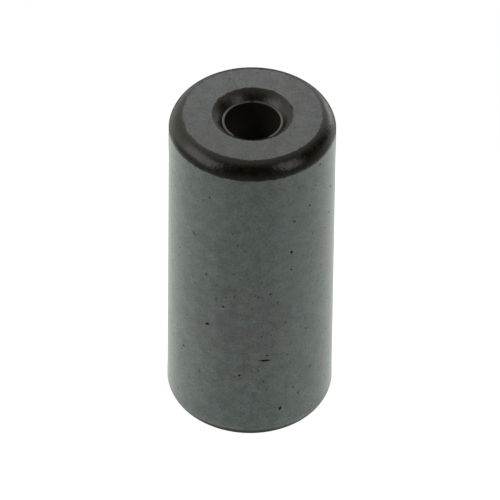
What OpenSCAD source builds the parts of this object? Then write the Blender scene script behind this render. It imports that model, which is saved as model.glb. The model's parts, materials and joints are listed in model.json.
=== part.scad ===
// Cylindrical ferrite core: one pressed and fired body with a wire hole along its axis.
// Millimetres. The core stands on an end face, with its axis on Z and the origin at the middle of that face.
// The wall and both end faces are ground. The rims and the mouths of the hole keep their pressed form.

/* [Body] */
// Outside diameter of the ground wall
core_d = 5.08; // [4:0.02:9]
// Length from one ground end face to the other
core_l = 11.1; // [5:0.1:30]

/* [Rim] */
// Radius of the pressed corner between the wall and the end
rim_r = 0.65; // [0.3:0.01:0.9]
// Depth ground off the fired wall, which leaves the rim's outer edge
wall_ground = 0.008; // [0.002:0.001:0.03]
// Depth ground off the fired end, which leaves the rim's inner edge
end_ground = 0.038; // [0.01:0.001:0.08]

/* [Wire hole] */
// Diameter of the straight hole
bore_d = 1.72; // [1:0.02:2]
// Depth of the countersunk mouth below the end face, down to the ledge
mouth_depth = 0.26; // [0.15:0.005:0.6]
// Width of the mouth, from the ledge out to the end face
mouth_w = 0.315; // [0.15:0.005:0.4]
// Radius to which the mouth's slope rounds over
mouth_round = 1.2; // [1:0.05:4]
// Width of the ledge between the foot of the mouth's slope and the straight hole
ledge_w = 0.065; // [0.04:0.005:0.16]
// Fall of the ledge across its width, down to the straight hole
ledge_fall = 0.016; // [0.01:0.002:0.06]

/* [Hidden] */

// Facets round a full circle
$fn = 180;
// How far a cutting shape runs past the surface that it opens
cut_over = 0.5;

core_r = core_d / 2;
bore_r = bore_d / 2;
ledge_r = bore_r + ledge_w;
mouth_r = ledge_r + mouth_w;
// The pressed corner's arc is tangent to the wall and the end as they were before grinding
rim_centre = [core_r + wall_ground - rim_r, core_l + end_ground - rim_r];

// What the pressed corner leaves out of a square one, at the top end
module rim_waste() {
    difference() {
        translate(rim_centre)
            square(rim_r + cut_over);
        translate(rim_centre)
            circle(r = rim_r);
    }
}

// Countersunk mouth of the hole, at the top end. It rounds over from the end face down to the sloping ledge.
module mouth() {
    foot = [ledge_r, core_l - mouth_depth];
    lip = [mouth_r, core_l];
    half = (lip - foot) / 2;
    // The arc runs through the foot and the lip, and its centre lies inside the core
    arc_centre = foot + half + [half[1], -half[0]] * sqrt(mouth_round * mouth_round / (half * half) - 1);
    ledge_slope = ledge_fall / ledge_w;
    difference() {
        // Everything over the ledge's slope, which runs on under the arc and to the axis
        polygon([
            [0, foot[1] - ledge_slope * foot[0]],
            [arc_centre[0], foot[1] + ledge_slope * (arc_centre[0] - foot[0])],
            [arc_centre[0], core_l + cut_over],
            [0, core_l + cut_over]
        ]);
        translate(arc_centre)
            circle(r = mouth_round);
    }
}

// Draws a shape of the top end at both ends
module both_ends() {
    children();
    translate([0, core_l])
        mirror([0, 1])
            children();
}

// Half section of the core, from the axis out to the wall
module half_section() {
    difference() {
        square([core_r, core_l]);
        translate([0, -cut_over])
            square([bore_r, core_l + 2 * cut_over]);
        both_ends() {
            rim_waste();
            mouth();
        }
    }
}

module ferrite_core() {
    color([0.30, 0.32, 0.31])
        rotate_extrude()
            half_section();
}

ferrite_core();
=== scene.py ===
import json
import math
import random

import bpy
from mathutils import Matrix, Vector

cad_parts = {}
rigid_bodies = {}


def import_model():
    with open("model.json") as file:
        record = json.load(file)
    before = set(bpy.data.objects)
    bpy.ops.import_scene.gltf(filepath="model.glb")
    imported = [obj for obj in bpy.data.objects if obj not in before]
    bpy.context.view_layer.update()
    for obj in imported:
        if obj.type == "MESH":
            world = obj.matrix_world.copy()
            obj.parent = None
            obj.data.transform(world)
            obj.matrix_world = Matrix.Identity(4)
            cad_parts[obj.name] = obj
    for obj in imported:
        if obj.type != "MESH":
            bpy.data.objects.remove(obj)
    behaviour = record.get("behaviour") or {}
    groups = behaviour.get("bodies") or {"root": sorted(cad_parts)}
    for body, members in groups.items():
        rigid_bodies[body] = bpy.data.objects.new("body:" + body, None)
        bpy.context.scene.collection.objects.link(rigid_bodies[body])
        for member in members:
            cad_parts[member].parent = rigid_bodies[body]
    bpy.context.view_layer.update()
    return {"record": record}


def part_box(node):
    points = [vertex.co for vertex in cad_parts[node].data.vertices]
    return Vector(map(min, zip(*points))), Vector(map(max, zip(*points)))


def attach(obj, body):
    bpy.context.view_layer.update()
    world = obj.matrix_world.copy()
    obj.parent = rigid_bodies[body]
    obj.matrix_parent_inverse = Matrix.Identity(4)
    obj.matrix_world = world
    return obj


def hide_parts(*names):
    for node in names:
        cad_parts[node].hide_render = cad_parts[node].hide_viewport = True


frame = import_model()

scene = bpy.context.scene
mm = 0.001  # shapes are modelled in millimetres and brought to metres at the end

# sizes that the frame already holds
mounts = {mount["name"]: mount for mount in frame["record"]["mounts"]}
boxLow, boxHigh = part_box("ferrite_core")
coreLength = round((boxHigh.z - boxLow.z) / mm, 3)
coreRadius = mounts["outer_wall"]["dims"]["r_mm"]
boreRadius = mounts["wire_hole"]["dims"]["r_mm"]
mouthDepth = (coreLength - mounts["wire_hole"]["dims"]["length_mm"]) / 2
halfLength = coreLength / 2
print("frame loaded: core", coreRadius * 2, "x", coreLength, "mm")


# small helpers for modelling by hand

def onlySelect(thing):
    bpy.ops.object.select_all(action="DESELECT")
    thing.select_set(True)
    bpy.context.view_layer.objects.active = thing


def applyModifier(thing, kind, **settings):
    onlySelect(thing)
    bpy.ops.object.modifier_add(type=kind)
    modifier = thing.modifiers[-1]
    for name, value in settings.items():
        setattr(modifier, name, value)
    bpy.ops.object.modifier_apply(modifier=modifier.name)


def pointAt(turn, radius, height):
    # turn is in degrees from the camera's side, to the right
    angle = math.radians(turn)
    return Vector((math.sin(angle) * radius, -math.cos(angle) * radius, height))


# small helpers for node trees

def addNode(tree, kind, values=None, **settings):
    node = tree.nodes.new(kind)
    for name, value in settings.items():
        setattr(node, name, value)
    for socket, value in (values or {}).items():
        if hasattr(value, "is_output"):
            tree.links.new(value, node.inputs[socket])
        else:
            node.inputs[socket].default_value = value
    return node


def mathNode(tree, operation, first, second=0.0, third=0.0):
    return addNode(tree, "ShaderNodeMath", {0: first, 1: second, 2: third}, operation=operation).outputs[0]


def vectorNode(tree, operation, values, output=0):
    return addNode(tree, "ShaderNodeVectorMath", values, operation=operation).outputs[output]


def times(tree, first, second):
    return mathNode(tree, "MULTIPLY", first, second)


def timesPlus(tree, value, factor, base):
    return mathNode(tree, "MULTIPLY_ADD", value, factor, base)


def minus(tree, first, second):
    return mathNode(tree, "SUBTRACT", first, second)


def flip(tree, mask):
    return minus(tree, 1.0, mask)


def centred(tree, noise):
    return minus(tree, noise, 0.5)


def stepUp(tree, value, low, high):
    node = addNode(tree, "ShaderNodeMapRange", {0: value, 1: low, 2: high, 3: 0.0, 4: 1.0},
                   interpolation_type="SMOOTHSTEP")
    return node.outputs[0]


def stepDown(tree, value, low, high):
    return flip(tree, stepUp(tree, value, low, high))


def mixValue(tree, factor, first, second):
    return addNode(tree, "ShaderNodeMix", {0: factor, 2: first, 3: second}).outputs[0]


def mixColour(tree, factor, first, second):
    return addNode(tree, "ShaderNodeMix", {0: factor, 6: first, 7: second}, data_type="RGBA").outputs[2]


def bumpNode(tree, relief, strength, height, **more):
    values = {"Height": relief, "Strength": strength, "Distance": height * mm, **more}
    return addNode(tree, "ShaderNodeBump", values).outputs[0]


def spotMask(tree, place, spot, noise, uneven, reach):
    # a soft spot with an uneven edge
    away = vectorNode(tree, "DISTANCE", {0: place, 1: spot}, "Value")
    return stepDown(tree, timesPlus(tree, noise, uneven, away), *reach)


def newGroup(name, inputs, outputs):
    tree = bpy.data.node_groups.new(name, "ShaderNodeTree")
    for label, kind in inputs:
        tree.interface.new_socket(label, in_out="INPUT", socket_type=kind)
    for label, kind in outputs:
        tree.interface.new_socket(label, in_out="OUTPUT", socket_type=kind)
    return tree, tree.nodes.new("NodeGroupInput"), tree.nodes.new("NodeGroupOutput")


# grain of the fired ferrite, shared by every finish
grainForm = {
    "grain": {"Detail": 3.0, "Roughness": 0.65},
    "cloud": {"Detail": 2.0, "Roughness": 0.5},
    "tint": {"Detail": 1.0, "Roughness": 0.5},
    "tintShift": (7.3, 2.1, 4.9),   # so that tint and clouds don't follow each other
    "dotEdge": (0.14, 0.30),
    "dotChance": (0.62, 0.72),      # one small dot in about a third of the cells
}


def makeGrainGroup(form):
    tree, start, end = newGroup(
        "ferriteGrain",
        [("Place", "NodeSocketVector"), ("Grain per mm", "NodeSocketFloat"),
         ("Cloud per mm", "NodeSocketFloat"), ("Specks per mm", "NodeSocketFloat")],
        [("Grain", "NodeSocketFloat"), ("Cloud", "NodeSocketFloat"), ("Tint", "NodeSocketColor"),
         ("Specks", "NodeSocketFloat")])
    place = start.outputs["Place"]
    grainsPerMm = start.outputs["Grain per mm"]
    cloudsPerMm = start.outputs["Cloud per mm"]
    specksPerMm = start.outputs["Specks per mm"]
    moved = vectorNode(tree, "ADD", {0: place, 1: form["tintShift"]})
    grain = addNode(tree, "ShaderNodeTexNoise", {"Vector": place, "Scale": grainsPerMm, **form["grain"]})
    cloud = addNode(tree, "ShaderNodeTexNoise", {"Vector": place, "Scale": cloudsPerMm, **form["cloud"]})
    tint = addNode(tree, "ShaderNodeTexNoise", {"Vector": moved, "Scale": cloudsPerMm, **form["tint"]})
    cells = addNode(tree, "ShaderNodeTexVoronoi", {"Vector": place, "Scale": specksPerMm})
    dot = stepDown(tree, cells.outputs["Distance"], *form["dotEdge"])
    chance = addNode(tree, "ShaderNodeSeparateColor", {0: cells.outputs["Color"]}).outputs[0]
    tree.links.new(grain.outputs["Fac"], end.inputs["Grain"])
    tree.links.new(cloud.outputs["Fac"], end.inputs["Cloud"])
    tree.links.new(tint.outputs["Color"], end.inputs["Tint"])
    tree.links.new(times(tree, dot, stepUp(tree, chance, *form["dotChance"])), end.inputs["Specks"])
    return tree


grainGroup = makeGrainGroup(grainForm)


def placeGrain(tree, place, sizes):
    grain, cloud, specks = sizes
    values = {"Place": place, "Grain per mm": grain, "Cloud per mm": cloud, "Specks per mm": specks}
    return addNode(tree, "ShaderNodeGroup", values, node_tree=grainGroup).outputs


def startMaterial(name):
    material = bpy.data.materials.new(name)
    material.use_nodes = True
    tree = material.node_tree
    shader = tree.nodes["Principled BSDF"]
    place = addNode(tree, "ShaderNodeTexCoord").outputs["Object"]
    perMm = (1 / mm, 1 / mm, 1 / mm)
    place = addNode(tree, "ShaderNodeMapping", {"Vector": place, "Scale": perMm}).outputs[0]
    return material, tree, shader, place


# ground wall and ends, with the fired skin left on the rims and in the mouth
# lengths are in millimetres, and a pair is where a change starts and where it is complete
ferriteFinish = {
    "wall": (0.069, 0.086, 0.078, 1.0),
    # the front of the wall is browner in one broad spot
    "blotch": {"turn": -8, "height": 4.5, "uneven": 3.0, "reach": (0.7, 2.5),
               "colour": (0.0635, 0.0720, 0.0705, 1.0)},
    "end": (0.064, 0.0705, 0.0850, 1.0),
    "endLean": 0.110,               # painted light: the end is painted paler towards the back, share for each mm
    "skin": (0.0072, 0.0063, 0.0047, 1.0),
    "rust": (0.0135, 0.0075, 0.0045, 1.0),         # brown clouds in the skin
    "rustCloud": (0.50, 0.66),
    "mouthRust": (0.0240, 0.0130, 0.0100, 1.0),    # browner and paler on the left of the mouth, rust colour with a painted highlight in it
    "mouthRustCloud": (0.44, 0.58),
    "mouthRustAcross": (-0.6, 0.5),
    # a painted highlight lies in the mouth, a paler patch at its back left
    "stain": {"turn": -137, "radius": 1.02, "depth": 0.14, "uneven": 0.4, "reach": (0.10, 0.34),
              "colour": (0.046, 0.038, 0.032, 1.0)},
    "grain": (16.0, 3.2, 7.0),      # grain, clouds and specks per mm
    "raggedGrain": (5.0, 1.5, 2.0),
    "peelGrain": (12.0, 6.0, 3.0),  # the fired skin is uneven, like fine peel
    "tintShare": 0.22,              # how far the hue drifts
    "grainSpread": 1.7,             # how far the tone follows grain and clouds
    "cloudSpread": 1.3,
    "paleGrain": 0.60,              # painted sparkle: a few grains are painted paler, as glints
    "paleFrom": (0.60, 0.70),
    "speckShade": 0.75,
    "ior": 1.5,
    "groundRoughness": 0.24,
    "skinRoughness": 0.16,
    "mouthRoughness": 0.20,
    "lipRoughness": 0.34,           # the mouth is worn dull towards its lip
    "lipReach": (1.05, 1.15),
    "ledgeRoughness": 0.08,         # burnished, less so at the back
    "ledgeDull": 0.24,
    "ledgeCoat": 0.32,
    "ledgeBack": (0.2, 0.75),
    "ledgeEdge": 0.006,
    "patchy": 0.10,                 # how far the skin's shine varies
    "patchCloud": (0.42, 0.66),
    "grainShine": 0.08,
    "mouthEdge": (1.3, 1.5),        # between the mouth and the rim
    "groundEdge": 0.008,            # how soft the ground edges are
    "raggedWall": 0.13,             # how far they wander
    "raggedEnd": 0.16,
    "raggedLip": 0.20,
    "lipEdge": (-0.014, 0.002),     # beside the lip
    "wallSkin": (0.05, 0.04),       # what counts as the wall lies this near to it
    "endSkin": (0.02, 0.01),
    "lowerWear": 0.10,              # the ground finish reaches so much further down onto the lower rim, so it is paler there
    "wearFade": 1.0,                # above and below half height
    "relief": {"cloud": 1.5, "strength": 0.25, "height": 0.004},
    "peel": 0.0065,                 # height of the skin's uneven surface
}


# masks for the parts of the surface
def findRegions(tree, place, finish, section):
    axes = addNode(tree, "ShaderNodeSeparateXYZ", {0: place}).outputs
    flat = addNode(tree, "ShaderNodeCombineXYZ", {0: axes[0], 1: axes[1]}).outputs[0]
    radius = vectorNode(tree, "LENGTH", {0: flat}, "Value")
    fromMiddle = mathNode(tree, "ABSOLUTE", minus(tree, axes[2], halfLength))
    ragged = placeGrain(tree, place, finish["raggedGrain"])
    peel = placeGrain(tree, place, finish["peelGrain"])
    wander = centred(tree, ragged["Grain"])
    jag = centred(tree, peel["Grain"])
    soft = finish["groundEdge"]

    # the wall is ground up to the ragged foot of the rim
    lower = stepDown(tree, axes[2], halfLength - finish["wearFade"], halfLength + finish["wearFade"])
    wallTop = timesPlus(tree, wander, finish["raggedWall"], fromMiddle)
    # the ground finish reaches further down onto the lower rim
    wallTop = timesPlus(tree, lower, -finish["lowerWear"], wallTop)
    onWall = stepDown(tree, wallTop, section["foot"] - soft, section["foot"] + soft)
    atWall = stepUp(tree, radius, *(coreRadius - depth for depth in finish["wallSkin"]))
    onWall = times(tree, onWall, atWall)

    # the end is ground from the ragged lip of the mouth out to the ragged edge of the rim
    endOut = timesPlus(tree, wander, finish["raggedEnd"], radius)
    endIn = timesPlus(tree, jag, finish["raggedLip"], radius)
    onEnd = stepDown(tree, endOut, section["face"] - soft, section["face"] + soft)
    pastLip = stepUp(tree, endIn, *(section["lip"] + beside for beside in finish["lipEdge"]))
    onEnd = times(tree, onEnd, pastLip)
    atEnd = stepUp(tree, fromMiddle, *(halfLength - depth for depth in finish["endSkin"]))
    onEnd = times(tree, onEnd, atEnd)

    return {"x": axes[0], "y": axes[1], "radius": radius, "ragged": ragged, "peel": peel, "wander": wander,
            "onEnd": onEnd, "ground": mathNode(tree, "MAXIMUM", onWall, onEnd),
            "outside": stepUp(tree, radius, *finish["mouthEdge"]),
            "offLedge": stepUp(tree, radius, section["ledge"], section["ledge"] + finish["ledgeEdge"])}


def colourFerrite(tree, shader, place, finish, region, grain):
    cloud = region["ragged"]["Cloud"]
    # tone about one, from grain, clouds, a painted sparkle of paler grains, and specks
    tone = timesPlus(tree, centred(tree, grain["Grain"]), finish["grainSpread"], 1.0)
    tone = timesPlus(tree, centred(tree, grain["Cloud"]), finish["cloudSpread"], tone)
    tone = timesPlus(tree, stepUp(tree, grain["Grain"], *finish["paleFrom"]), finish["paleGrain"], tone)
    tone = times(tree, tone, timesPlus(tree, grain["Specks"], -finish["speckShade"], 1.0))

    # the skin is brown in clouds; on the left of the mouth it is browner and paler, rust with a painted
    # highlight, and one paler patch there is a painted highlight
    skin = mixColour(tree, stepUp(tree, cloud, *finish["rustCloud"]), finish["skin"], finish["rust"])
    right = stepUp(tree, region["x"], *finish["mouthRustAcross"])
    brown = flip(tree, mathNode(tree, "MAXIMUM", region["outside"], right))
    brown = times(tree, brown, stepUp(tree, cloud, *finish["mouthRustCloud"]))
    skin = mixColour(tree, brown, skin, finish["mouthRust"])
    # painted highlight: a paler patch at the back left of the mouth
    stain = finish["stain"]
    spot = pointAt(stain["turn"], stain["radius"], coreLength - stain["depth"])
    paintedGlintMask = spotMask(tree, place, spot, region["wander"], stain["uneven"], stain["reach"])
    skin = mixColour(tree, paintedGlintMask, skin, stain["colour"])

    # ground faces
    blotch = finish["blotch"]
    spot = pointAt(blotch["turn"], coreRadius, blotch["height"])
    blotched = spotMask(tree, place, spot, centred(tree, cloud), blotch["uneven"], blotch["reach"])
    wall = mixColour(tree, blotched, finish["wall"], blotch["colour"])
    # painted light: the end is paler towards the back
    lean = timesPlus(tree, region["y"], finish["endLean"], 1.0)
    end = vectorNode(tree, "SCALE", {0: finish["end"][:3], "Scale": lean})
    colour = mixColour(tree, region["onEnd"], wall, end)

    colour = mixColour(tree, region["ground"], skin, colour)
    colour = vectorNode(tree, "SCALE", {0: colour, "Scale": tone})
    share = finish["tintShare"]
    tint = vectorNode(tree, "MULTIPLY_ADD", {0: grain["Tint"], 1: (2 * share,) * 3, 2: (1 - share,) * 3})
    colour = vectorNode(tree, "MULTIPLY", {0: colour, 1: tint})
    tree.links.new(colour, shader.inputs["Base Color"])


def polishFerrite(tree, shader, finish, region, grain):
    mouth, lip = finish["mouthRoughness"], finish["lipRoughness"]
    shine = timesPlus(tree, stepUp(tree, region["radius"], *finish["lipReach"]), lip - mouth, mouth)
    shine = mixValue(tree, region["outside"], shine, finish["skinRoughness"])
    patches = stepUp(tree, region["peel"]["Cloud"], *finish["patchCloud"])
    shine = timesPlus(tree, patches, finish["patchy"], shine)
    shine = mixValue(tree, region["ground"], shine, finish["groundRoughness"])
    atBack = stepUp(tree, region["y"], *finish["ledgeBack"])
    ledge = timesPlus(tree, atBack, finish["ledgeDull"], finish["ledgeRoughness"])
    shine = mixValue(tree, region["offLedge"], ledge, shine)
    shine = timesPlus(tree, grain["Grain"], finish["grainShine"], shine)
    tree.links.new(shine, shader.inputs["Roughness"])

    burnished = times(tree, flip(tree, region["offLedge"]), flip(tree, atBack))
    tree.links.new(times(tree, burnished, finish["ledgeCoat"]), shader.inputs["Coat Weight"])
    shader.inputs["Coat Roughness"].default_value = finish["ledgeRoughness"]
    shader.inputs["IOR"].default_value = finish["ior"]


def roughenFerrite(tree, shader, finish, region, grain):
    form = finish["relief"]
    relief = timesPlus(tree, region["ragged"]["Cloud"], form["cloud"], grain["Grain"])
    relief = minus(tree, relief, grain["Specks"])
    bump = bumpNode(tree, relief, form["strength"], form["height"])
    # only the skin is uneven, and the ledge is rubbed smooth
    uneven = times(tree, region["peel"]["Grain"], flip(tree, region["ground"]))
    uneven = times(tree, uneven, region["offLedge"])
    bump = bumpNode(tree, uneven, 1.0, finish["peel"], Normal=bump)
    tree.links.new(bump, shader.inputs["Normal"])


def makeFerrite(finish, section):
    material, tree, shader, place = startMaterial("groundFerrite")
    region = findRegions(tree, place, finish, section)
    grain = placeGrain(tree, place, finish["grain"])
    colourFerrite(tree, shader, place, finish, region, grain)
    polishFerrite(tree, shader, finish, region, grain)
    roughenFerrite(tree, shader, finish, region, grain)
    return material


# wall of the hole, dull, and painted paler further in, a painted light where the hole lies in shade
holeFinish = {
    "near": (0.024, 0.0225, 0.0185, 1.0),
    "deep": (0.105, 0.099, 0.083, 1.0),
    "reach": (0.4, 2.0),
    "grain": (16.0, 3.2, 7.0),
    "grainSpread": 1.2,
    "roughness": 0.50,
    "ior": 1.2,
}


def makeHole(finish):
    material, tree, shader, place = startMaterial("holeSkin")
    height = addNode(tree, "ShaderNodeSeparateXYZ", {0: place}).outputs[2]
    fromMiddle = mathNode(tree, "ABSOLUTE", minus(tree, height, halfLength))
    inside = minus(tree, halfLength, fromMiddle)
    # painted light: the hole is paler further in
    colour = mixColour(tree, stepUp(tree, inside, *finish["reach"]), finish["near"], finish["deep"])
    grain = placeGrain(tree, place, finish["grain"])
    tone = timesPlus(tree, centred(tree, grain["Grain"]), finish["grainSpread"], 1.0)
    colour = vectorNode(tree, "SCALE", {0: colour, "Scale": tone})
    tree.links.new(colour, shader.inputs["Base Color"])
    shader.inputs["Roughness"].default_value = finish["roughness"]
    shader.inputs["IOR"].default_value = finish["ior"]
    return material


# floor of a pit and face of a chip
brokenFinish = {"grain": (24.0, 6.0, 12.0), "tone": (0.3, 0.7), "strength": 0.5, "height": 0.006}
pitFinish = {"light": (0.046, 0.044, 0.040, 1.0), "dark": (0.018, 0.017, 0.015, 1.0),
             "roughness": 0.75, "ior": 1.3}
chipFinish = {"light": (0.240, 0.230, 0.210, 1.0), "dark": (0.100, 0.100, 0.096, 1.0),
              "roughness": 0.60, "ior": 1.5}


def makeBroken(name, finish, form):
    material, tree, shader, place = startMaterial(name)
    grain = placeGrain(tree, place, form["grain"])["Grain"]
    colour = mixColour(tree, stepUp(tree, grain, *form["tone"]), finish["dark"], finish["light"])
    tree.links.new(colour, shader.inputs["Base Color"])
    bump = bumpNode(tree, grain, form["strength"], form["height"])
    tree.links.new(bump, shader.inputs["Normal"])
    shader.inputs["Roughness"].default_value = finish["roughness"]
    shader.inputs["IOR"].default_value = finish["ior"]
    return material


# section of the core
coreForm = {
    "segments": 256,
    "rimRadius": 0.65,      # pressed corner
    "wallGround": 0.008,    # taken off the wall by grinding
    "endGround": 0.038,     # taken off the end by grinding
    "ledgeWidth": 0.065,
    "ledgeFall": 0.016,     # the ledge slopes down to the hole
    "mouthWidth": 0.315,
    "mouthRound": 1.2,      # radius to which the mouth rounds over
    "wallRings": 48,
    "rimRings": 14,
    "endRings": 6,
    "mouthRings": 8,
    "boreRings": 24,
    "weld": 0.0005,         # points nearer than this are joined
    "sharpFrom": 8,         # edges that turn by more degrees stay sharp
}


def sectionOfEnd(form):
    # from the bore's edge at the top out to the foot of the rim, as radius and height
    ledge = boreRadius + form["ledgeWidth"]
    mouth = ledge + form["mouthWidth"]
    floor = coreLength - mouthDepth
    mouthFoot = floor + form["ledgeFall"]
    rim = form["rimRadius"]
    footAngle = math.acos(1 - form["wallGround"] / rim)
    topAngle = math.pi / 2 - math.acos(1 - form["endGround"] / rim)
    centre = (coreRadius + form["wallGround"] - rim, coreLength + form["endGround"] - rim)
    faceEdge = centre[0] + rim * math.cos(topAngle)
    points = [(boreRadius, floor)]
    # the mouth's arc, from its foot to its lip, about a centre inside the core
    across, up = form["mouthWidth"] / 2, (coreLength - mouthFoot) / 2
    deep = math.sqrt(form["mouthRound"] ** 2 / (across ** 2 + up ** 2) - 1)
    middle = (ledge + across + up * deep, mouthFoot + up - across * deep)
    start = math.atan2(mouthFoot - middle[1], ledge - middle[0])
    stop = math.atan2(coreLength - middle[1], mouth - middle[0])
    for i in range(form["mouthRings"] + 1):
        angle = start + (stop - start) * i / form["mouthRings"]
        points.append((middle[0] + form["mouthRound"] * math.cos(angle),
                       middle[1] + form["mouthRound"] * math.sin(angle)))
    for i in range(1, form["endRings"]):
        points.append((mouth + (faceEdge - mouth) * i / form["endRings"], coreLength))
    for i in range(form["rimRings"] + 1):
        angle = topAngle + (footAngle - topAngle) * i / form["rimRings"]
        points.append((centre[0] + rim * math.cos(angle), centre[1] + rim * math.sin(angle)))
    return points


endSection = sectionOfEnd(coreForm)
# where the finishes change, from half height or from the axis
edges = {"foot": endSection[-1][1] - halfLength, "face": endSection[-1 - coreForm["rimRings"]][0],
         "ledge": endSection[1][0], "lip": endSection[1 + coreForm["mouthRings"]][0]}
ferriteMaterial = makeFerrite(ferriteFinish, edges)
holeMaterial = makeHole(holeFinish)
pitMaterial = makeBroken("pitFloor", pitFinish, brokenFinish)
chipMaterial = makeBroken("chipFace", chipFinish, brokenFinish)
print("finishes made")


# the core, pulled ring by ring round its own section
def pullRing(now, radius, height):
    bpy.ops.mesh.extrude_region_move(TRANSFORM_OT_translate={"value": (0, 0, height - now[1])})
    share = radius / now[0]
    bpy.ops.transform.resize(value=(share, share, 1), center_override=(0, 0, height))
    return radius, height


def makeCore(form, end):
    first, foot = end[0], end[-1]
    wallSpan = coreLength - 2 * foot[1]
    wall = [(coreRadius, foot[1] + wallSpan * i / form["wallRings"]) for i in range(1, form["wallRings"])]
    lower = [(radius, coreLength - height) for radius, height in reversed(end)]
    low = lower[-1][1]
    boreSpan = low - first[1]
    bore = [(boreRadius, low - boreSpan * i / form["boreRings"]) for i in range(1, form["boreRings"] + 1)]
    bpy.ops.object.select_all(action="DESELECT")
    bpy.ops.mesh.primitive_circle_add(vertices=form["segments"], radius=first[0], location=(0, 0, first[1]))
    body = bpy.context.active_object
    body.name = "ferriteBody"
    bpy.ops.object.transform_apply(location=True)
    bpy.ops.object.mode_set(mode="EDIT")
    bpy.ops.mesh.select_mode(type="EDGE")
    bpy.ops.mesh.select_all(action="SELECT")
    now = first
    for radius, height in end[1:] + wall + lower + bore:
        now = pullRing(now, radius, height)
    bpy.ops.mesh.select_all(action="SELECT")
    bpy.ops.mesh.remove_doubles(threshold=form["weld"])
    bpy.ops.mesh.normals_make_consistent(inside=False)
    bpy.ops.object.mode_set(mode="OBJECT")
    body.data.materials.append(ferriteMaterial)
    body.data.materials.append(holeMaterial)
    for face in body.data.polygons:
        if math.hypot(face.center.x, face.center.y) < boreRadius:
            face.material_index = 1
    return body


core = makeCore(coreForm, endSection)
print("core turned:", len(core.data.polygons), "faces")


# shapes that are cut out of the core, one millimetre wide before they are scaled
def makeBlob(name, seed, roughen, material):
    bpy.ops.object.select_all(action="DESELECT")
    bpy.ops.mesh.primitive_ico_sphere_add(subdivisions=2, radius=0.5)
    blob = bpy.context.active_object
    blob.name = name
    bpy.ops.object.mode_set(mode="EDIT")
    bpy.ops.mesh.select_all(action="SELECT")
    bpy.ops.transform.vertex_random(offset=roughen, uniform=1.0, seed=seed)
    bpy.ops.object.mode_set(mode="OBJECT")
    blob.data.materials.append(material)
    return blob


def copyBlob(shape, place, facing, spin, size):
    blob = bpy.data.objects.new("cut", shape.data.copy())
    scene.collection.objects.link(blob)
    turned = facing.to_track_quat("Z", "Y").to_matrix() @ Matrix.Rotation(spin, 3, "Z")
    blob.matrix_world = Matrix.LocRotScale(place, turned, size)
    return blob


def cutAway(thing, blobs):
    onlySelect(blobs[0])
    for blob in blobs:
        blob.select_set(True)
    bpy.ops.object.join()
    cutter = bpy.context.active_object
    applyModifier(thing, "BOOLEAN", object=cutter, operation="DIFFERENCE", solver="MANIFOLD",
                  material_mode="TRANSFER")
    bpy.data.objects.remove(cutter)


# pits in the wall
pitForm = {
    "seeds": (20, 21, 22, 23),      # one shape for each
    "paleSeed": 30,
    "roughen": 0.16,
    "sunk": 0.12,                   # centre under the surface, share of the depth
    "fullDepth": 0.12,              # as deep as wide from this width on, shallower below it
    "shallow": 0.40,
    "spinStep": 1.3,                # in radians, from one to the next
    # seen on the front: turn to the right in degrees, height and width in millimetres
    "seen": [
        (29, 7.5, 0.105), (12, 3.5, 0.08), (-7, 2.7, 0.08), (25, 4.7, 0.07), (-19, 5.4, 0.08),
        (-17, 5.8, 0.06), (14, 6.0, 0.07), (19, 5.6, 0.07), (8, 6.5, 0.06), (-12, 6.8, 0.06),
        (-32, 6.5, 0.07), (29, 6.8, 0.07), (32, 1.9, 0.07), (36, 1.6, 0.07), (-53, 3.0, 0.08),
        (47, 2.4, 0.07), (8, 4.3, 0.06), (70, 9.0, 0.08), (-30, 9.65, 0.07), (31, 8.7, 0.08),
        (44, 9.05, 0.08), (-9, 8.0, 0.06), (54, 10.4, 0.08), (-11, 5.9, 0.06), (6, 2.9, 0.06),
        (-37, 2.4, 0.06),
    ],
    # longer marks, the slit first; lean turns them in degrees, and one is pale
    "long": [
        {"turn": 10.5, "height": 3.3, "size": (0.51, 0.08, 0.12), "lean": -4, "pale": False},
        {"turn": -31, "height": 4.5, "size": (0.19, 0.09, 0.09), "lean": 18, "pale": False},
        {"turn": 22, "height": 1.2, "size": (0.21, 0.09, 0.09), "lean": 75, "pale": False},
        {"turn": -43, "height": 7.9, "size": (0.19, 0.045, 0.025), "lean": -34, "pale": False},
        {"turn": -21, "height": 1.1, "size": (0.11, 0.09, 0.02), "lean": 0, "pale": True},
    ],
    "scatter": {"seed": 4, "count": 320, "least": 0.026, "most": 0.060, "margin": 0.7, "spin": 6.28},
}


def wallPlace(turn, height, depth):
    out = pointAt(turn, 1, 0)
    return out * (coreRadius - depth) + Vector((0, 0, height)), out


def copyPit(form, shape, turn, height, width, spin):
    deep = width * min(1.0, max(form["shallow"], width / form["fullDepth"]))
    size = Vector((width, width, deep))
    place, out = wallPlace(turn, height, size.z * form["sunk"])
    return copyBlob(shape, place, out, spin, size)


def makePits(thing, form):
    shapes = [makeBlob("pitShape", seed, form["roughen"], pitMaterial) for seed in form["seeds"]]
    paleShape = makeBlob("paleShape", form["paleSeed"], form["roughen"], chipMaterial)
    blobs = []
    for i, (turn, height, width) in enumerate(form["seen"]):
        blobs.append(copyPit(form, shapes[i % len(shapes)], turn, height, width, i * form["spinStep"]))
    for mark in form["long"]:
        place, out = wallPlace(mark["turn"], mark["height"], 0.0)
        shape = paleShape if mark["pale"] else shapes[0]
        blobs.append(copyBlob(shape, place, out, math.radians(mark["lean"]), Vector(mark["size"])))
    scatter = form["scatter"]
    draw = random.Random(scatter["seed"])
    for i in range(scatter["count"]):
        width = scatter["least"] + (scatter["most"] - scatter["least"]) * draw.random() ** 2
        turn = draw.uniform(-180, 180)
        height = draw.uniform(scatter["margin"], coreLength - scatter["margin"])
        shape = draw.choice(shapes)
        blobs.append(copyPit(form, shape, turn, height, width, draw.uniform(0, scatter["spin"])))
    cutAway(thing, blobs)
    for shape in shapes + [paleShape]:
        bpy.data.objects.remove(shape)


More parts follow.
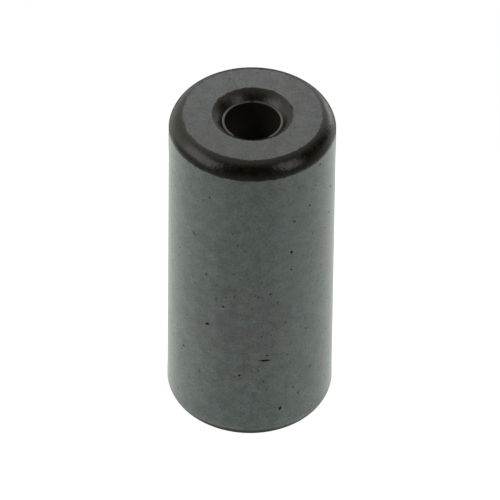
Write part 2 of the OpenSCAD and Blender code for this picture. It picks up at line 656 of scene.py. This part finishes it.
# breaks of the ledge, the lip and the rim's edge, with their sizes along, across and down
ledgeHeight = coreLength - mouthDepth + coreForm["ledgeFall"] / 2
ledgeBreak = {"radius": 0.893, "height": ledgeHeight, "size": (0.28, 0.12, 0.06), "pale": False}
edgeNick = {"radius": 1.236, "height": coreLength, "size": (0.20, 0.05, 0.03), "pale": False}
lipChip = {"radius": 1.255, "height": coreLength, "size": (0.15, 0.05, 0.025), "pale": True}
breakForm = {
    "roughen": 0.16,
    "paleSeed": 31,
    "darkSeed": 32,
    "seen": [
        dict(ledgeBreak, turn=181, radius=0.890, size=(0.13, 0.09, 0.035)),
        *[dict(ledgeBreak, turn=turn) for turn in (-33, -20, -7, 6, 18)],
        dict(ledgeBreak, turn=28, size=(0.26, 0.12, 0.06)),
        dict(edgeNick, turn=-50, radius=2.180, size=(0.12, 0.06, 0.03)),
        dict(ledgeBreak, turn=-42, radius=0.905, size=(0.10, 0.09, 0.05), pale=True),
        dict(edgeNick, turn=150),
        dict(edgeNick, turn=106, size=(0.24, 0.05, 0.03)),
        dict(edgeNick, turn=-124),
        dict(lipChip, turn=-10),
        dict(lipChip, turn=-1, size=(0.10, 0.06, 0.025)),
        dict(lipChip, turn=13, radius=1.265, size=(0.16, 0.05, 0.025)),
    ],
}


def makeBreaks(thing, form):
    paleShape = makeBlob("chipShape", form["paleSeed"], form["roughen"], chipMaterial)
    darkShape = makeBlob("gapShape", form["darkSeed"], form["roughen"], pitMaterial)
    up = Vector((0, 0, 1))
    blobs = []
    for one in form["seen"]:
        place = pointAt(one["turn"], one["radius"], one["height"])
        shape = paleShape if one["pale"] else darkShape
        blobs.append(copyBlob(shape, place, up, math.radians(one["turn"]), Vector(one["size"])))
    # neighbours overlap, so every other one is cut at a time
    cutAway(thing, blobs[0::2])
    cutAway(thing, blobs[1::2])
    for shape in (paleShape, darkShape):
        bpy.data.objects.remove(shape)


def dropCrumbs(thing):
    # crumbs left between two cuts go, and only the body around its highest point stays
    onlySelect(thing)
    bpy.ops.object.mode_set(mode="EDIT")
    bpy.ops.mesh.select_mode(type="VERT")
    bpy.ops.mesh.select_all(action="DESELECT")
    bpy.ops.object.mode_set(mode="OBJECT")
    highest = max(thing.data.vertices, key=lambda vertex: vertex.co.z)
    highest.select = True
    bpy.ops.object.mode_set(mode="EDIT")
    bpy.ops.mesh.select_linked()
    bpy.ops.mesh.select_all(action="INVERT")
    bpy.ops.mesh.delete(type="VERT")
    bpy.ops.object.mode_set(mode="OBJECT")


makePits(core, pitForm)
makeBreaks(core, breakForm)
dropCrumbs(core)
print("pits and breaks cut:", len(core.data.polygons), "faces")

# to metres, smooth, and into the frame
core.scale = (mm, mm, mm)
onlySelect(core)
bpy.ops.object.transform_apply(location=False, rotation=False, scale=True)
bpy.ops.object.shade_smooth_by_angle(angle=math.radians(coreForm["sharpFrom"]))
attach(core, "root")
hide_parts("ferrite_core")


# the camera sees a white floor in a white room; the core mirrors a white sheet in a dark room
def whiteToCamera(tree, tint, glow):
    seen = addNode(tree, "ShaderNodeLightPath").outputs["Is Camera Ray"]
    colour = mixColour(tree, seen, tint, (1, 1, 1, 1))
    return {"Color": colour, "Strength": mathNode(tree, "MAXIMUM", seen, glow)}


# floor with a glowing sheet on it, in metres
floorLook = {
    "size": 1.2,
    "drop": 0.00002,                # the floor lies this far under the core
    "tint": (0.95, 1.0, 0.95, 1.0),
    "sheetGlow": 1.27,
    "sheetReach": (0.015, 0.040),   # the sheet fades away from the core
    "farGlow": 0.25,
    "backGlow": 0.85,               # less so behind it
    "backReach": (0.012, 0.028),
    "underCore": (0.0022, 0.0029),  # painted shadow: it is dark under the core
    "nearShade": 0.05,              # and a little shaded near it
    "nearReach": (0.003, 0.010),
    "frontShade": 0.22,             # it is shaded in front of the core, between two straight edges
    "shadeRight": {"turn": 19, "soft": (-0.0002, 0.0003)},
    "shadeLeft": {"turn": -22, "soft": (-0.0012, 0.0020)},
    "backShade": 0.85,              # and in a broad strip behind it
    "backShadeAcross": (0.009, 0.019),
    "backShadeStart": (0.0108, 0.0122),
}


def beyondEdge(tree, place, turn):
    # an edge starts at the wall and runs on at twice its turn, as the wall mirrors it
    angle = math.radians(turn)
    side = math.copysign(1, angle)
    across = (side * math.cos(2 * angle), side * math.sin(2 * angle), 0)
    start = (coreRadius * mm * math.sin(angle), -coreRadius * mm * math.cos(angle), 0)
    beyond = vectorNode(tree, "SUBTRACT", {0: place, 1: start})
    return vectorNode(tree, "DOT_PRODUCT", {0: beyond, 1: across}, "Value")


def sheetGlow(tree, place, look):
    axes = addNode(tree, "ShaderNodeSeparateXYZ", {0: place}).outputs
    away = vectorNode(tree, "LENGTH", {0: place}, "Value")
    fall = timesPlus(tree, stepUp(tree, axes[1], *look["backReach"]), look["backGlow"] - look["farGlow"],
                     look["farGlow"] - look["sheetGlow"])
    glow = timesPlus(tree, stepUp(tree, away, *look["sheetReach"]), fall, look["sheetGlow"])
    # painted shadow under the core, and painted shade near it
    glow = times(tree, glow, stepUp(tree, away, *look["underCore"]))
    near = stepUp(tree, away, *look["nearReach"])
    glow = times(tree, glow, timesPlus(tree, near, look["nearShade"], 1 - look["nearShade"]))
    lit = 0.0
    for edge in (look["shadeRight"], look["shadeLeft"]):
        beyond = beyondEdge(tree, place, edge["turn"])
        lit = mathNode(tree, "MAXIMUM", lit, stepUp(tree, beyond, *edge["soft"]))
    glow = times(tree, glow, timesPlus(tree, lit, look["frontShade"], 1 - look["frontShade"]))
    dark = stepDown(tree, mathNode(tree, "ABSOLUTE", axes[0]), *look["backShadeAcross"])
    dark = times(tree, dark, stepUp(tree, axes[1], *look["backShadeStart"]))
    return times(tree, glow, timesPlus(tree, dark, -look["backShade"], 1.0))


def makeFloor(look):
    bpy.ops.object.select_all(action="DESELECT")
    bpy.ops.mesh.primitive_plane_add(size=look["size"], location=(0, 0, -look["drop"]))
    floor = bpy.context.active_object
    floor.name = "floor"
    material = bpy.data.materials.new("paleFloor")
    material.use_nodes = True
    tree = material.node_tree
    tree.nodes.clear()
    place = addNode(tree, "ShaderNodeTexCoord").outputs["Object"]
    light = whiteToCamera(tree, look["tint"], sheetGlow(tree, place, look))
    white = addNode(tree, "ShaderNodeEmission", light)
    addNode(tree, "ShaderNodeOutputMaterial", {"Surface": white.outputs[0]})
    floor.data.materials.append(material)


# room round the core, by direction
# a pair is where a change starts and where it is complete, or the glow at the foot and at the top
roomLook = {
    "tint": (1.0, 1.0, 0.89, 1.0),
    "front": 0.01,
    "foot": 0.13,                   # a faint glow near the floor
    "footRise": (0.0, 0.35),
    "top": 0.62,                    # light from above, leaning to the back
    "topLean": 0.5,
    "topLeft": 0.12,                # and a little to the left
    "topRise": (0.52, 1.02),
    "cardGlow": (0.77, 1.50),       # card behind the core, at its foot and at its top
    "cardRise": (0.30, 0.65),
    "cardMiddle": (0.38, 0.62),     # its top is bright in the middle only
    "cardReach": (0.10, 0.55),
    "cardFoot": 0.70,               # and its foot is dark there
    "cardFootRise": (0.02, 0.12),
    "cardFootAcross": (0.12, 0.32),
    "cardLeft": 0.30,               # it reaches further round on the left
    "cardSide": 0.22,               # and is brighter at that end
    "cardEnd": (0.72, 0.97),
}


def cardGlow(tree, axes, look):
    low, high = look["cardGlow"]
    aside = mathNode(tree, "ABSOLUTE", axes[0])
    rise = times(tree, stepUp(tree, axes[2], *look["cardRise"]), stepDown(tree, aside, *look["cardMiddle"]))
    card = timesPlus(tree, rise, high - low, low)
    dark = stepDown(tree, axes[2], *look["cardFootRise"])
    dark = times(tree, dark, stepDown(tree, aside, *look["cardFootAcross"]))
    card = times(tree, card, timesPlus(tree, dark, -look["cardFoot"], 1.0))
    leftEnd = stepUp(tree, times(tree, axes[0], -1.0), *look["cardEnd"])
    card = timesPlus(tree, leftEnd, look["cardSide"], card)
    behind = timesPlus(tree, axes[0], -look["cardLeft"], axes[1])
    return times(tree, card, stepUp(tree, behind, *look["cardReach"]))


def makeRoom(look):
    room = bpy.data.worlds.new("room")
    scene.world = room
    room.use_nodes = True
    tree = room.node_tree
    tree.nodes.clear()
    towards = addNode(tree, "ShaderNodeTexCoord").outputs["Generated"]
    axes = addNode(tree, "ShaderNodeSeparateXYZ", {0: towards}).outputs
    glow = timesPlus(tree, stepDown(tree, axes[2], *look["footRise"]), look["foot"], look["front"])
    top = timesPlus(tree, axes[1], look["topLean"], axes[2])
    top = timesPlus(tree, axes[0], -look["topLeft"], top)
    glow = timesPlus(tree, stepUp(tree, top, *look["topRise"]), look["top"], glow)
    glow = mathNode(tree, "MAXIMUM", glow, cardGlow(tree, axes, look))
    sky = addNode(tree, "ShaderNodeBackground", whiteToCamera(tree, look["tint"], glow))
    addNode(tree, "ShaderNodeOutputWorld", {"Surface": sky.outputs[0]})
    scene.view_settings.view_transform = "Standard"


# turn is from the camera's side, to the right; radiance is what the core sees in it
lamps = {
    "leftBox": {"turn": -74, "rise": 27, "away": 0.25, "size": (0.20, 0.17), "radiance": 1.85,
                "tint": (1.0, 0.94, 0.91)},
    "rightBox": {"turn": 54, "rise": 34, "away": 0.25, "size": (0.10, 0.18), "radiance": 1.5,
                 "tint": (1.0, 0.98, 0.93)},
    "backCard": {"turn": 143, "rise": 3.3, "away": 0.06, "size": (0.022, 0.018), "radiance": 1.4,
                 "tint": (1.0, 1.0, 1.0)},
}


def makeLamp(name, lamp):
    width, height = lamp["size"]
    rise = math.radians(lamp["rise"])
    towards = pointAt(lamp["turn"], math.cos(rise), math.sin(rise))
    data = bpy.data.lights.new(name, "AREA")
    data.shape = "RECTANGLE"
    data.size, data.size_y = width, height
    data.energy = lamp["radiance"] * math.pi * width * height
    data.color = lamp["tint"]
    light = bpy.data.objects.new(name, data)
    scene.collection.objects.link(light)
    light.location = Vector((0, 0, halfLength * mm)) + towards * lamp["away"]
    light.rotation_euler = towards.to_track_quat("Z", "Y").to_euler()


# angles in degrees; distances, lens and sensor in millimetres
photoCamera = {"rise": 41.515, "roll": 0.688, "away": 314.21, "lens": 738.33, "sensor": 36,
               "aimLeft": 0.030, "aimUp": 0.038, "clip": (0.01, 10)}


def makeCamera(view):
    rise = math.radians(view["rise"])
    back = Vector((0, -math.cos(rise), math.sin(rise)))
    up = Vector((0, math.sin(rise), math.cos(rise)))
    aim = Vector((0, 0, halfLength)) + Vector((-view["aimLeft"], 0, 0)) + up * view["aimUp"]
    data = bpy.data.cameras.new("photoCamera")
    data.lens = view["lens"]
    data.sensor_width = view["sensor"]
    data.clip_start, data.clip_end = view["clip"]  # metres
    camera = bpy.data.objects.new("photoCamera", data)
    scene.collection.objects.link(camera)
    camera.location = (aim + back * view["away"]) * mm
    turned = back.to_track_quat("Z", "Y").to_matrix() @ Matrix.Rotation(math.radians(view["roll"]), 3, "Z")
    camera.rotation_euler = turned.to_euler()
    scene.camera = camera


makeFloor(floorLook)
makeRoom(roomLook)
for name, lamp in lamps.items():
    makeLamp(name, lamp)
makeCamera(photoCamera)
print("stage set")
